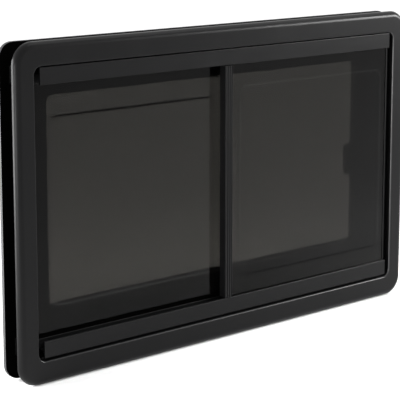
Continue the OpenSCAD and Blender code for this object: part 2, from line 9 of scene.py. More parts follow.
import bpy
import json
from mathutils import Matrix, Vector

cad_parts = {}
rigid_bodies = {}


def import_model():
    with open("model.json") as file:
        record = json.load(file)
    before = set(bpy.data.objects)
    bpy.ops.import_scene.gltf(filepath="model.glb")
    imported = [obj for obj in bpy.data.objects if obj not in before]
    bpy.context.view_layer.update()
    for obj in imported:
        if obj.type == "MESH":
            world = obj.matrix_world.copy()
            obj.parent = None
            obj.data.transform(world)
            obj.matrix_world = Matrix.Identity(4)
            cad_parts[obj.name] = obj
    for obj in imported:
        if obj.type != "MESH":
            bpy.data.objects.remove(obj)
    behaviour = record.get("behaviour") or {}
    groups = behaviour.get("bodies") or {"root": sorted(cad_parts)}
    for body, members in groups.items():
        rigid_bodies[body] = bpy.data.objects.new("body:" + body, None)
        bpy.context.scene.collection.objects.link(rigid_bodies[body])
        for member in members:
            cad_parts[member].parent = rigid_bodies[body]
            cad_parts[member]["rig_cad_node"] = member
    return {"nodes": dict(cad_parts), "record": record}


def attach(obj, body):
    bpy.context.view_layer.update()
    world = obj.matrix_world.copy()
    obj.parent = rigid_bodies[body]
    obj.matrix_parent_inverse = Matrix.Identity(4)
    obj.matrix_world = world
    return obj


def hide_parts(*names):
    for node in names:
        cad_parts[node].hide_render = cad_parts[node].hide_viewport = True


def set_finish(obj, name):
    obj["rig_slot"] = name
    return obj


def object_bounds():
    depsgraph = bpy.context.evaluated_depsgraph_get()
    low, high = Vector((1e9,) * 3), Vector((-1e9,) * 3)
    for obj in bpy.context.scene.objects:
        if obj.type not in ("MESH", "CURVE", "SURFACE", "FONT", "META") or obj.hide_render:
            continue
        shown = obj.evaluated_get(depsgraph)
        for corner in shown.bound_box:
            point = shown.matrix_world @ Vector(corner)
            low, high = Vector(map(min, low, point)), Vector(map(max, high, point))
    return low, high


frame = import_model()
cad_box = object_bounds()
print("CAD solids:", len(frame["nodes"]), "box:", cad_box)

# %% Tools
import json
from math import pi, radians

import bmesh
import bpy
import numpy as np

np.random.seed(7)
MM = 0.001  # a millimetre in metres
MID = 285.0  # height of the window's middle in the frame, in mm
slot_of = {part["node"]: part["material_slot"] for part in frame["record"]["subparts"]}
print("finishes in the record:", sorted(set(slot_of.values())))

# %% [markdown]
# ## The view first
# A portrait is easier to judge when the camera stands still from the start. The real picture was
# taken from the left and slightly above with a long lens, so the verticals stay nearly parallel.
# Tilting the camera makes them lean, so it is tilted only a little and the lens is shifted for the
# rest. The place was fitted to the four rounded corners of the flange.

# %% Camera
camera_data = bpy.data.cameras.new("portrait_camera")
camera_data.sensor_width = 36.0
camera_data.lens = 131.3
camera_data.shift_y = -0.20
camera = bpy.data.objects.new("portrait_camera", camera_data)
camera.location = (-1.7533, -2.0170, 0.5627 + MID * MM)
camera.rotation_euler = (radians(90 - 9.44), 0, radians(-39.88))
bpy.context.scene.collection.objects.link(camera)
bpy.context.scene.camera = camera
bpy.context.scene.view_settings.view_transform = "Standard"
print("camera", tuple(round(c, 3) for c in camera.location), "lens", camera_data.lens)

# %% [markdown]
# ## Floor and studio light
# Black satin paint has almost no colour of its own: what the eye reads is the room that it
# reflects. The room here is a white studio that is a third brighter behind the window than on the
# camera's side. The world shader does it in one go, by grading its brightness with the direction in
# which a ray leaves the scene. Lamps alone would leave black holes in the reflections. Four soft
# panels stand in the room: near and right, above, behind the left edge, and a narrow one far to the
# left that lights the edge at the right of the opening, where a painted highlight raises the shine.

# %% Floor
def disc_points(radius, count):
    """Points on a circle: x = radius * cos(a), y = radius * sin(a), for a full turn of a."""
    a = np.linspace(0, 2 * pi, count, endpoint=False)
    return np.stack([radius * np.cos(a), radius * np.sin(a)], -1)


floor_z = cad_box[0][2] - 0.0004
rim = disc_points(9.0, 96)
floor_mesh = bpy.data.meshes.new("studio_floor")
floor_mesh.from_pydata(np.column_stack([rim, np.full(len(rim), floor_z)]).tolist(), [],
                       [list(range(len(rim)))])
floor = bpy.data.objects.new("studio_floor", floor_mesh)
bpy.context.scene.collection.objects.link(floor)
paper = bpy.data.materials.new("studio_paper")
paper.use_nodes = True
surface = paper.node_tree.nodes["Principled BSDF"].inputs
surface["Base Color"].default_value = (0.94, 0.94, 0.94, 1)
surface["Roughness"].default_value = 0.9
surface["Specular IOR Level"].default_value = 0.1
floor_mesh.materials.append(paper)
print("floor at", round(floor_z, 4))

# %% World
world = bpy.data.worlds.new("white_studio")
bpy.context.scene.world = world
world.use_nodes = True
sky = world.node_tree
sky.nodes.clear()
direction = sky.nodes.new("ShaderNodeTexCoord")
parts = sky.nodes.new("ShaderNodeSeparateXYZ")
depth = sky.nodes.new("ShaderNodeMapRange")
depth.interpolation_type = "SMOOTHSTEP"
GRADING = {"From Min": -0.55, "From Max": 0.35, "To Min": 1.0, "To Max": 1.32}
for end, value in GRADING.items():
    depth.inputs[end].default_value = value
room = sky.nodes.new("ShaderNodeBackground")
out = sky.nodes.new("ShaderNodeOutputWorld")
sky.links.new(direction.outputs["Generated"], parts.inputs["Vector"])
sky.links.new(parts.outputs["Y"], depth.inputs["Value"])
sky.links.new(depth.outputs["Result"], room.inputs["Strength"])
sky.links.new(room.outputs["Background"], out.inputs["Surface"])
room.inputs["Color"].default_value = (1.0, 1.0, 1.0, 1.0)
print("world is graded from", GRADING["To Min"], "to", GRADING["To Max"])

# %% Soft panels
def soft_panel(name, place, target, width, height, watts, spread=180):
    """Rectangular lamp at place that faces target. Its z axis points away from what it lights, and
    its honeycomb grid keeps the light within spread degrees."""
    data = bpy.data.lights.new(name, "AREA")
    data.shape = "RECTANGLE"
    data.size, data.size_y, data.energy = width, height, watts
    data.spread = radians(spread)
    lamp = bpy.data.objects.new(name, data)
    lamp.location = place
    away = Vector(place) - Vector(target)
    lamp.rotation_euler = away.to_track_quat("Z", "Y").to_euler()
    bpy.context.scene.collection.objects.link(lamp)
    return lamp


soft_panel("panel_near", (2.0, -1.1, 1.0), (0.46, 0.0, 0.38), 0.8, 0.8, 6.5, 44)
soft_panel("panel_top", (1.2, -0.5, 2.4), (1.2, -0.51, 0.0), 2.6, 0.8, 8, 110)
soft_panel("panel_left", (-1.3, 0.6, 0.45), (-0.47, 0.0, 0.3), 0.5, 0.84, 34)
soft_panel("panel_edge", (-2.2, -0.35, 0.2), (0.43, 0.0, 0.3), 0.3, 0.6, 16)

# %% [markdown]
# ## Surfaces as arrays of points
# Every new surface here is a grid of points: rows run one way, columns the other. Modelling by hand
# would also work, but a formula keeps each radius true to the CAD sizes and can be changed in one
# place. Three generators make nearly all of it. A stack of rectangles with round corners makes
# frames and formed panes, a profile carried along a straight line makes bars, and a turned outline
# makes screws. Lengths are in millimetres from the middle of the window, and piece() converts them.

# %% Grid faces
def grid_faces(rows, cols, close_rows):
    """Quads of a grid. The quad at row i, column j joins (i, j), (i, j+1), (i+1, j+1), (i+1, j).
    The column after the last is column 0, and with close_rows the row after the last is row 0."""
    i = np.arange(rows if close_rows else rows - 1)[:, None]
    j = np.arange(cols)[None, :]
    down, across = (i + 1) % rows, (j + 1) % cols
    corners = [i * cols + j, i * cols + across, down * cols + across, down * cols + j]
    return np.stack(corners, -1).reshape(-1, 4)


print("a 3 by 4 tube has", len(grid_faces(3, 4, False)), "quads")


# %% Pieces from shells
def shell(points, closed=False):
    """One closed surface from an array of rows of points. An open stack of rows gets a flat face on
    its first and last row, and a closed one joins its last row to its first."""
    rows, cols = points.shape[:2]
    faces = grid_faces(rows, cols, closed).tolist()
    if not closed:
        faces += [list(range(cols))[::-1], list(range((rows - 1) * cols, rows * cols))]
    return points.reshape(-1, 3), faces


def piece(name, shells, node=None, slot=None, bevel=0.0, smooth=34):
    """Joins shells into one mesh object in metres, turns its faces outwards, and lets it ride on
    the frame. It stands for the CAD node, if one is named, and takes its finish from the slot.
    Edges that turn by more than smooth degrees stay sharp, or get a bevel of that many mm."""
    points, faces, start = [], [], 0
    for block_points, block_faces in shells:
        points.append(block_points)
        faces += [[start + k for k in face] for face in block_faces]
        start += len(block_points)
    all_points = (np.concatenate(points) + [0, 0, MID]) * MM
    mesh = bpy.data.meshes.new(name)
    mesh.from_pydata(all_points.tolist(), [], faces)
    work = bmesh.new()
    work.from_mesh(mesh)
    bmesh.ops.remove_doubles(work, verts=work.verts, dist=2e-6)
    bmesh.ops.recalc_face_normals(work, faces=work.faces)
    work.to_mesh(mesh)
    work.free()
    mesh.shade_smooth()
    mesh.set_sharp_from_angle(angle=radians(smooth))
    made = bpy.data.objects.new(name, mesh)
    bpy.context.scene.collection.objects.link(made)
    if bevel:
        soft = made.modifiers.new("soft_edges", "BEVEL")
        soft.width, soft.segments, soft.limit_method = bevel * MM, 2, "ANGLE"
        soft.angle_limit = radians(smooth)
    flat = made.modifiers.new("flat_faces", "WEIGHTED_NORMAL")
    flat.keep_sharp = True
    flat.weight = 90
    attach(made, "root")
    if node:
        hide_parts(*([node] if isinstance(node, str) else node))
    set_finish(made, slot or slot_of[node if isinstance(node, str) else node[0]])
    print(f"{name}: {len(mesh.vertices)} points, {len(mesh.polygons)} faces")
    return made


# %% Rings
def ring_stack(rings, arc=14):
    """Rows of points, one rectangle with round corners for each (x0, x1, z0, z1, radius, y). A
    point of a corner is its centre + radius * (cos a, sin a), with a over a quarter turn."""
    table = np.asarray(rings, float)
    x0, x1, z0, z1, r, y = (table[:, i, None, None] for i in range(6))
    a = np.linspace(0, pi / 2, arc)[None, None, :] + np.arange(4)[None, :, None] * pi / 2
    east = np.array([True, False, False, True])[None, :, None]
    north = np.array([True, True, False, False])[None, :, None]
    x = np.where(east, x1 - r, x0 + r) + r * np.cos(a)
    z = np.where(north, z1 - r, z0 + r) + r * np.sin(a)
    return np.stack([x, np.broadcast_to(y, x.shape), z], -1).reshape(len(table), -1, 3)


def centred(width, height, r, y):
    """One ring of that width and height round the middle of the window."""
    return (-width / 2, width / 2, -height / 2, height / 2, r, y)


def grown(ring, grow, y):
    """The same ring, larger by grow on every side and at depth y; its radius grows with it."""
    x0, x1, z0, z1, r, _ = ring
    return (x0 - grow, x1 + grow, z0 - grow, z1 + grow, max(r + grow, 0.2), y)


print("a ring has", ring_stack([centred(10, 10, 2, 0)]).shape[1], "points")


# %% Bars
def outline(points, radii, steps=5):
    """Closed profile whose corners are arcs. The turn at a corner is the angle between the sides
    that meet there. The arc starts radius * tan(turn / 2) before the corner, and its points are the
    start turned about the centre by equal shares of the turn."""
    p = np.asarray(points, float)
    r = np.broadcast_to(np.asarray(radii, float), len(p))[:, None]
    ahead = np.roll(p, -1, 0) - p
    ahead /= np.linalg.norm(ahead, axis=1, keepdims=True)
    back = np.roll(ahead, 1, 0)
    turn = np.arctan2(back[:, 0] * ahead[:, 1] - back[:, 1] * ahead[:, 0], (back * ahead).sum(1))
    side = np.sign(turn)[:, None]
    left = np.stack([-back[:, 1], back[:, 0]], -1) * side
    start = p - back * r * np.tan(np.abs(turn) / 2)[:, None]
    centre = start + left * r
    share = turn[:, None] * np.linspace(0, 1, steps)[None, :]
    arm = (start - centre)[:, None, :]
    c, s = np.cos(share)[..., None], np.sin(share)[..., None]
    crossed = np.stack([-arm[..., 1], arm[..., 0]], -1)
    return (centre[:, None, :] + arm * c + crossed * s).reshape(-1, 2)


def along_x(profile, stations, flip=1):
    """Bar along x. A profile point (u, v) goes to z = flip * u and y = -v at every station."""
    x = np.asarray(stations, float)[:, None]
    u, v = profile[None, :, 0], profile[None, :, 1]
    x, u, v = np.broadcast_arrays(x, u, v)
    return shell(np.stack([x, -v, flip * u], -1))


def along_z(profile, stations, flip=1):
    """Bar along z. A profile point (u, v) goes to x = flip * u and y = -v at every station."""
    z = np.asarray(stations, float)[:, None]
    u, v = profile[None, :, 0], profile[None, :, 1]
    z, u, v = np.broadcast_arrays(z, u, v)
    return shell(np.stack([flip * u, -v, z], -1))


def rectangle(u0, u1, v0, v1):
    """Four corners of a plain profile."""
    return [(u0, v0), (u1, v0), (u1, v1), (u0, v1)]


print("a rounded square has", len(outline(rectangle(0, 1, 0, 1), 0.2)), "points")

# %% Shared sizes
UPPER_MOUTH, LOWER_MOUTH = 222.8, -219.2  # where the tracks of the two rails open
RAIL_HEIGHT = 29.8  # from there to the back of the rail
RAIL_END = 421.8  # half its length
print("clear height between the rails:", UPPER_MOUTH - LOWER_MOUTH)

# %% [markdown]
# ## Outer frame
# The real frame is a powder-coated profile with a flange whose outer edge is one full quarter
# round, so that rain and twigs slide off. The corner radius outside is larger than the one of the
# opening, so a profile carried round one path can't make it. A stack of rings can: each ring has
# its own width, height and radius, and the rings walk once round the section, from the opening
# over the rounded edges to the back, down the neck and up again on its inside. A thin tape runs
# round the neck, where the wall closes on it; its near-black finish is painted shade for the gap.
# The frame carries a point attribute that its finish reads, a painted highlight on the opening's
# edge.

# %% Outer frame rings
FACE, ROUND, EDGE = -12.0, 12.0, 3.4  # depth of the face, radius outside and at the opening
opening = centred(866.8, 508.0, 15.0, 0.0)
flat_edge = centred(918.0, 568.0, 27.0, 0.0)
neck_outside = centred(898.0, 548.0, 17.0, 0.0)
neck_inside = centred(890.0, 540.0, 13.0, 0.0)
quarter = np.linspace(0, pi / 2, 9)
inner_edge = [grown(opening, EDGE * (1 - np.cos(a)), FACE + EDGE * (1 - np.sin(a)))
              for a in quarter]
outer_edge = [grown(flat_edge, ROUND * np.sin(a), FACE + ROUND * (1 - np.cos(a)))
              for a in np.linspace(0, pi / 2, 17)]
frame_rings = [grown(opening, 0, -0.001)] + inner_edge + outer_edge + [
    grown(neck_outside, 0.8, 0.0), grown(neck_outside, 0, 0.8), grown(neck_outside, 0, 29.5),
    grown(neck_outside, -0.5, 30.0), grown(neck_inside, 0.5, 30.0), grown(neck_inside, 0, 29.5),
    grown(neck_inside, 0, -0.001),
]
print("rings round the section:", len(frame_rings))

# %% Sealing tape
TAPE = ((0.1, 1.0), (0.8, 1.4), (0.8, 29.0), (0.1, 29.4))  # height over the neck, depth
tape_rings = [grown(neck_outside, height, y) for height, y in TAPE]
# The tape's finish, given in the dressing, is painted shade for the gap between the frames.
piece("neck_tape_painted_shade", [shell(ring_stack(tape_rings), True)], slot="black_rubber")

# %% Outer frame piece
def lug(side, low):
    """A flat tongue that runs back from the neck into the inner frame at the end of a rail."""
    x0, x1 = sorted((side * 445.0, side * 449.0))
    return along_x(outline(rectangle(low, low + RAIL_HEIGHT, -43.4, -29.0), 0.6, 3), [x0, x1])


lugs = [lug(side, low) for side in (-1, 1) for low in (UPPER_MOUTH, LOWER_MOUTH - RAIL_HEIGHT)]
flange = piece("outer_flange", [shell(ring_stack(frame_rings, 20), True)] + lugs, "outer_frame")


def point_layer(mesh, name, formula):
    """Point attribute whose value is the formula of the points in mm from the window's middle."""
    place = np.zeros(3 * len(mesh.vertices))
    mesh.vertices.foreach_get("co", place)
    layer = mesh.attributes.new(name, "FLOAT", "POINT")
    layer.data.foreach_set("value", formula(place.reshape(-1, 3) / MM - [0, 0, MID]))


def painted_edge_highlight(p, below=0.2):
    """Painted highlight on the rounded edge of the opening: 4 d (1 - d), where d is the depth over
    the radius. Times a share that grows over the corners: 1 at the right, below = 0.2 at the
    bottom, and 0 at the left and at the top."""
    right, top, corner = opening[1], opening[3], opening[4]
    d = (p[:, 1] - FACE) / EDGE
    reach = EDGE + 0.2
    near = (np.abs(p[:, 0]) < right + reach) & (np.abs(p[:, 2]) < top + reach)
    share = np.maximum(np.clip((p[:, 0] - right) / corner + 1, 0, 1),
                       np.clip((-p[:, 2] - top) / corner + 1, 0, 1) * below)
    return np.where(near, np.clip(4 * d * (1 - d), 0, 1) * share, 0.0)


# Painted highlight: this point attribute raises the shine of the opening's edge at the right and
# bottom.
point_layer(flange.data, "painted_highlight", painted_edge_highlight)

# %% [markdown]
# ## Track rails
# The rails are extruded aluminium. Their front lip hides the tracks, and behind it two lanes and a
# hollow chamber run the whole length, open at the square-cut ends. Straight bars do this best: one
# for each wall of the section, each with the small radius that a die leaves on every corner.

# %% Rails
RAIL_WALLS = [
    (rectangle(0, RAIL_HEIGHT, 6.5, 10.5), [0.3, 0.3, 1.2, 1.2]),
    (rectangle(17, 19, -18.6, 6.6), 0.2),
    (rectangle(RAIL_HEIGHT - 2, RAIL_HEIGHT, -18.6, 6.6), 0.2),
    (rectangle(0, RAIL_HEIGHT, -20.5, -18.5), [0.5, 0.5, 0.2, 0.2]),
    (rectangle(0, 17.1, -10.5, -8.5), [0.7, 0.1, 0.1, 0.7]),
]


def rail(edge, flip, leg):
    """Walls of one rail and the two legs from its back to the neck. u is measured from the mouth
    of the tracks towards the neck."""
    walls = RAIL_WALLS + [(rectangle(RAIL_HEIGHT - 1.9, RAIL_HEIGHT + leg, low, low + 2), 0.3)
                          for low in (-17.0, -2.2)]
    shells = []
    for corners, radii in walls:
        profile = outline(corners, radii, 6) + [flip * edge, 0]
        shells.append(along_x(profile, [-RAIL_END, RAIL_END], flip))
    return shells


piece("upper_rail", rail(UPPER_MOUTH, 1, 17.2), "top_rail", bevel=0.25, smooth=50)
piece("lower_rail", rail(LOWER_MOUTH, -1, 20.8), "bottom_rail", bevel=0.25, smooth=50)

# %% [markdown]
# ## Acrylic panes
# Each pane is two sheets. The outer one is flat and 3 mm thick. The inner one is 2 mm thick and
# warmed over a mould into a shallow pan, so air is sealed between the two. What shows is the soft
# line where the margin bends into the slope, so that bend gets real arcs. The rings walk from the
# middle of the pan out over both bends to the edge, then back inside the sheet. The two sheets
# stay a hair apart, because glass faces that coincide flicker in any renderer. The flat sheet
# carries a painted highlight and painted shade along the line of the bend behind it, in a point
# attribute "bend": above 0 the line is a painted highlight, below 0 a painted dark line.

# %% Flat sheets
CORNER = 1.5  # radius of a sheet's corners
LINE_RINGS = (-4.0, -2.0, -1.0, 0.0, 1.0, 2.0, 4.0)  # distances from the bend


def flat_sheet(x0, x1, z0, z1, face, thick, step, polished=0.5):
    """A plate with a polished edge: a ring there draws in by polished * (1 - sin a) and sinks by
    polished * (1 - cos a). The rings inside it lie flat. They follow the bend of the sheet behind,
    and carry the painted highlight and painted shade of its line."""
    rings = [grown(step, g, face) for g in (-9.0, *LINE_RINGS, 6.0)]
    for a in np.linspace(0, pi / 2, 4):
        inset, sunk = polished * (1 - np.sin(a)), polished * (1 - np.cos(a))
        rings.append((x0 + inset, x1 - inset, z0 + inset, z1 - inset, CORNER, face + sunk))
    back = [ring[:5] + (2 * face + thick - ring[5],) for ring in rings[::-1]]
    return shell(ring_stack(rings + back, 12))


def painted_bend_line(step, top, bottom, left, right):
    """Formula of the attribute "bend" along a step, a rectangle with round corners: the painted
    highlight (above 0) or painted shade (below 0) of the side times exp(-(d / 2)^2). Here q = max(
    distance from the middle - (half size - radius), 0) and d = length of q - radius. In a corner
    the two sides share by the squares of q's direction."""
    x0, x1, z0, z1, radius, _ = step
    centre, half = np.array([x0 + x1, z0 + z1]) / 2, np.array([x1 - x0, z1 - z0]) / 2

    def formula(p):
        side = p[:, [0, 2]] - centre
        q = np.maximum(np.abs(side) - (half - radius), 0)
        reach = np.linalg.norm(q, axis=1)
        share = (q / np.maximum(reach, 1e-6)[:, None]) ** 2
        painted_side_light = (share[:, 0] * np.where(side[:, 0] > 0, right, left)
                 + share[:, 1] * np.where(side[:, 1] > 0, top, bottom))
        return painted_side_light * np.exp(-((reach - radius) / 2) ** 2)
    return formula


PANE_LOW, PANE_HIGH = -229.2, 232.8
# Of each pane the ends in x, the depth of its face and the rectangle of its bend. Of its bend the
# painted highlight (above 0) or painted shade (below 0) above, below, left and right.
PANES = {"sliding": ((-12.5, 419.6), -5.0, (26.0, 403.6, -184.2, 179.8, 17.0, 0.0)),
         "fixed": ((-437.5, 14.5), 12.0, (-389.5, -24.0, -167.2, 163.8, 17.0, 0.0))}
BEND_PAINTED_LIGHT = {"sliding": (0.8, -1.0, 0.5, 0.7), "fixed": (-1.0, 1.0, 0.2, 0.4)}
for which, (ends, face, step) in PANES.items():
    plate = piece(f"{which}_pane_outside",
                  [flat_sheet(*ends, PANE_LOW, PANE_HIGH, face, 2.9, step)],
                  f"{which}_outer_sheet")
    # Painted highlight and painted shade along the line of the bend, stored on the flat sheet.
    point_layer(plate.data, "bend", painted_bend_line(step, *BEND_PAINTED_LIGHT[which]))

# %% Formed sheets
def bend(step, depth, slope, radius, thick, face, flat=4.0):
    """Rings of one side of the pan, from the margin to its floor. The section is a straight slope
    with an arc at each end. An arc point is its centre + radius * (sin a, cos a), for a from 0 to
    the angle of the slope, and the ring moves inwards as the section goes deeper. A flat strip
    before and after keeps the normals of margin and floor straight."""
    angle = np.arctan2(depth, slope)
    tangent = radius * np.tan(angle / 2)
    a = np.linspace(0, angle, 7)
    start = thick * np.tan(angle / 2)
    first_in = start - tangent + radius * np.sin(a)
    first_deep = radius * (1 - np.cos(a))
    last_in = start + slope + tangent - radius * np.sin(a[::-1])
    last_deep = depth - radius * (1 - np.cos(a[::-1]))
    inwards = np.concatenate([[first_in[0] - flat], first_in, last_in, [last_in[-1] + flat]])
    deeper = np.concatenate([[0.0], first_deep, last_deep, [depth]])
    return [grown(step, -i, face + d) for i, d in zip(inwards, deeper)]


def formed_sheet(edge, step, face, thick=1.9, depth=7.0, slope=6.0, radius=3.2):
    """Closed sheet: pan floor, slope, margin and edge outside, then the same back on the inside."""
    outside = bend(step, depth, slope, radius, 0.0, face)[::-1]
    inside = bend(step, depth, slope, radius, -thick, face + thick)
    rim_out, rim_in = edge + (CORNER, face), edge + (CORNER, face + thick)
    return shell(ring_stack(outside + [rim_out, rim_in] + inside, 16))


BEHIND = 3.1  # from the face of the flat sheet to the face of the formed one
for which, (ends, face, step) in PANES.items():
    piece(f"{which}_pane_inside",
          [formed_sheet(ends + (PANE_LOW, PANE_HIGH), step, face + BEHIND)],
          f"{which}_inner_sheet", smooth=60)

# %% [markdown]
# ## Meeting stile
# Where the panes overlap, a slim black profile grips the edge of the sliding pane. It is pulled by
# hand, so its face has three fine grooves for the fingertips. The whole section, with its channel
# for the pane, is one outline with a radius for each corner. The grooves are part of the outline
# and not a bump in the paint, because their edges catch the light and their floors stay dark.

# %% Stile section
def groove(centre, width, depth_at, face):
    """Four corners that dip from the face to the groove floor and back, from right to left."""
    return [(centre + width / 2, face), (centre + width / 2, face - depth_at),
            (centre - width / 2, face - depth_at), (centre - width / 2, face)]


STILE_LEFT, STILE_RIGHT, STILE_FACE = -15.7, 1.8, 12.0
section = [(STILE_LEFT, -4.5), (STILE_RIGHT, -4.5), (STILE_RIGHT, -0.2), (-12.7, -0.2),
           (-12.7, 5.2), (STILE_RIGHT, 5.2), (STILE_RIGHT, STILE_FACE)]
radii = [0.4, 0.4, 0.3, 0.2, 0.2, 0.3, 1.8]
for centre in (-0.7, -5.7, -10.7):
    section += groove(centre, 1.8, 1.2, STILE_FACE)
    radii += [0.3, 0.2, 0.2, 0.3]
section.append((STILE_LEFT, STILE_FACE))
radii.append(1.8)
piece("meeting_stile_grip", [along_z(outline(section, radii, 5), [-217.9, 221.5])],
      "meeting_stile", bevel=0.2, smooth=50)

# %% Closing edge
edge_section = [(417.5, -1.4), (421.0, -1.4), (421.0, 6.4), (417.5, 6.4), (417.5, 5.0),
                (419.6, 5.0), (419.6, 0.0), (417.5, 0.0)]
edge_profile = outline(edge_section, [0.3, 0.8, 0.8, 0.3, 0.2, 0.2, 0.2, 0.2], 4)
piece("closing_edge_trim", [along_z(edge_profile, [-218.2, 221.8])], "closing_edge_strip",
      smooth=50)

# %% [markdown]
# ## Brush seals
# Pile strips keep dust and draught out of the gap between the rails and the sliding pane. From a
# distance they are a soft dark line, close up thousands of short fibres. One fibre is a thin
# three-sided spike of four faces, and arrays of random leans and lengths make all of them at once.
# A seed keeps the pile the same in every run.

# %% Pile
def pile(starts, grow_to, length, lean, thickness):
    """Three-sided spikes at the given points. A tip is its start + length * a random share of 0.82
    to 1 * the direction + a random lean across it. A foot is a triangle whose corners lie one
    thickness from the start."""
    count = len(starts)
    tips = starts + np.asarray(grow_to) * length * np.random.uniform(0.82, 1.0, (count, 1))
    tips += np.random.normal(0, lean, (count, 3)) * (1 - np.abs(np.asarray(grow_to)))
    a = np.array([0.5, 2.5, 4.5]) * pi / 3
    across = [k for k in range(3) if abs(grow_to[k]) < 0.5]
    foot = np.zeros((3, 3))
    foot[:, across[0]], foot[:, across[1]] = thickness * np.cos(a), thickness * np.sin(a)
    points = np.concatenate([starts[:, None, :] + foot, tips[:, None, :]], 1).reshape(-1, 3)
    base = 4 * np.arange(count)[:, None, None]
    faces = base + np.array([[0, 1, 3], [1, 2, 3], [2, 0, 3], [2, 1, 0]])[None]
    return points, faces.reshape(-1, 3).tolist()


def pile_row(fixed, axis, low, high, pitch, jitter):
    """Feet along one axis at the pitch, with a random offset of up to jitter on every axis."""
    along = np.arange(low, high, pitch)
    starts = np.tile(np.asarray(fixed, float), (len(along), 1))
    starts[:, axis] = along
    return starts + np.random.uniform(-jitter, jitter, starts.shape)


# %% Rail brushes
def rail_brush(edge, flip, node, name):
    """A backing strip inside the lip and two rows of pile that reach just past the lip's edge."""
    backing = outline(rectangle(3.2, 8.0, 5.35, 6.45), 0.2, 3) + [flip * edge, 0]
    shells = [along_x(backing, [-RAIL_END + 0.5, RAIL_END - 0.5], flip)]
    for y in (-6.1, -5.65):
        feet = pile_row((0, y, edge + flip * 3.6), 0, -RAIL_END + 1, RAIL_END - 1, 0.75, 0.12)
        shells.append(pile(feet, (0, 0, -flip), 4.4, 0.06, 0.3))
    return piece(name, shells, node)


rail_brush(UPPER_MOUTH, 1, "top_brush_seal", "upper_brush")
rail_brush(LOWER_MOUTH, -1, "bottom_brush_seal", "lower_brush")

# %% Stile brush
stile_shells = [along_z(outline(rectangle(-12.6, -7.8, -6.5, -4.55), 0.2, 3), [-217.8, 221.4])]
for x in (-11.6, -10.2, -8.8):
    feet = pile_row((x, 6.3, 0), 2, -217.5, 221.0, 0.8, 0.15)
    stile_shells.append(pile(feet, (0, 1, 0), 5.2, 0.1, 0.35))
piece("stile_pile", stile_shells, "stile_brush")

# %% [markdown]
# ## Inner frame
# Indoors the window is finished by a grained plastic frame. Its rim lies on the wall lining, a
# slope leads up to the flat face, and a sleeve reaches back into the neck. It is a stack of rings
# again. Its opening lies 7 mm above the middle, and the ring generator takes that in its stride
# because each ring has its own corners. A thin ring of foam lies under the rim; its near-black
# finish without shine is painted shade for the gap between the frames.

# %% Inner frame rings
RIM_BACK, INDOORS = 41.6, 55.0  # depth of the rim's back and of the flat face
view = (-377.0, 377.0, -181.5, 196.0, 15.0, 0.0)
rim_ring = centred(936.0, 586.0, 27.5, 0.0)
body_ring = centred(916.0, 566.0, 17.5, 0.0)
sleeve_out = centred(889.0, 539.0, 12.5, 0.0)
sleeve_in = centred(883.0, 533.0, 9.5, 0.0)
soft = np.linspace(0, pi / 2, 6)
view_edge = [grown(view, 2.0 * (1 - np.cos(a)), INDOORS - 2.0 * (1 - np.sin(a))) for a in soft]
rim_edge = [grown(rim_ring, -1.2 * (1 - np.cos(a)), 49.2 - 1.2 * (1 - np.sin(a))) for a in soft]
inner_rings = [grown(view, 0, RIM_BACK), grown(sleeve_in, 0, RIM_BACK), grown(sleeve_in, 0, 18.6),
               grown(sleeve_in, 0.6, 18.0), grown(sleeve_out, -0.6, 18.0),
               grown(sleeve_out, 0, 18.6), grown(sleeve_out, 0, RIM_BACK),
               grown(rim_ring, 0, RIM_BACK)]
inner_rings += rim_edge + [grown(body_ring, 1.1, 54.5), grown(body_ring, 0.2, 54.9),
                           grown(body_ring, -0.9, INDOORS)] + view_edge[::-1]
piece("inner_trim_frame", [shell(ring_stack(inner_rings, 18), True)], "inner_frame")
FOAM = 0.5  # its thickness
foam_rings = [grown(neck_inside, 0, RIM_BACK), grown(neck_inside, 0, RIM_BACK - FOAM),
              centred(934.0, 584.0, 26.5, RIM_BACK - FOAM), centred(935.0, 585.0, 27.0, RIM_BACK)]
# The foam's finish, given in the dressing, is painted shade for the gap between the frames.
piece("rim_foam_painted_shade", [shell(ring_stack(foam_rings, 18), True)], slot="black_rubber")

# %% [markdown]
# ## Blind and fly screen
# A blackout blind comes down from a cassette above the opening and a fly screen comes up from one
# below. Their pull bars run in guides at both sides. The cassettes are extrusions with a slot for
# the fabric, closed by moulded caps. The pull bars have a finger groove that fades out towards
# their ends, so their section changes along the bar. That is a surface of two parameters: the place
# along the bar and the place round the section.

# %% Guides
GUIDE_LOW, GUIDE_HIGH = -198.0, 212.5
guide_section = [(417.5, -55.0), (417.5, -79.0), (431.0, -79.0), (449.0, -55.0)]
guide_profile = outline(guide_section, [0.3, 0.8, 3.0, 1.0], 7)
for side, which in ((-1, "left"), (1, "right")):
    cover = along_z(guide_profile, [GUIDE_LOW, GUIDE_HIGH], side)
    piece(f"guide_cover_{which}", [cover], f"{which}_guide", bevel=0.3, smooth=50)

# %% Cassettes
CASSETTE_END = 431.0  # half its length
TALL, FRONT, BACK, WALL = 62, -55, -87, 2  # height, two depths and the thickness of the walls


def cassette_section(mouth):
    """Hollow outline with its slot of 8 mm: outside from one lip of the slot round to the other,
    then back along the inside. u runs away from the view, v is minus the depth."""
    low, high = mouth - 8.0, mouth
    return [(0, low), (0, BACK), (TALL, BACK), (TALL, FRONT), (0, FRONT), (0, high),
            (WALL, high), (WALL, FRONT - WALL), (TALL - WALL, FRONT - WALL),
            (TALL - WALL, BACK + WALL), (WALL, BACK + WALL), (WALL, low)]


CASSETTE_RADII = [0.5, 10, 10, 0.5, 0.5, 0.5, 0.5, 0.4, 0.4, 8, 8, 0.5]
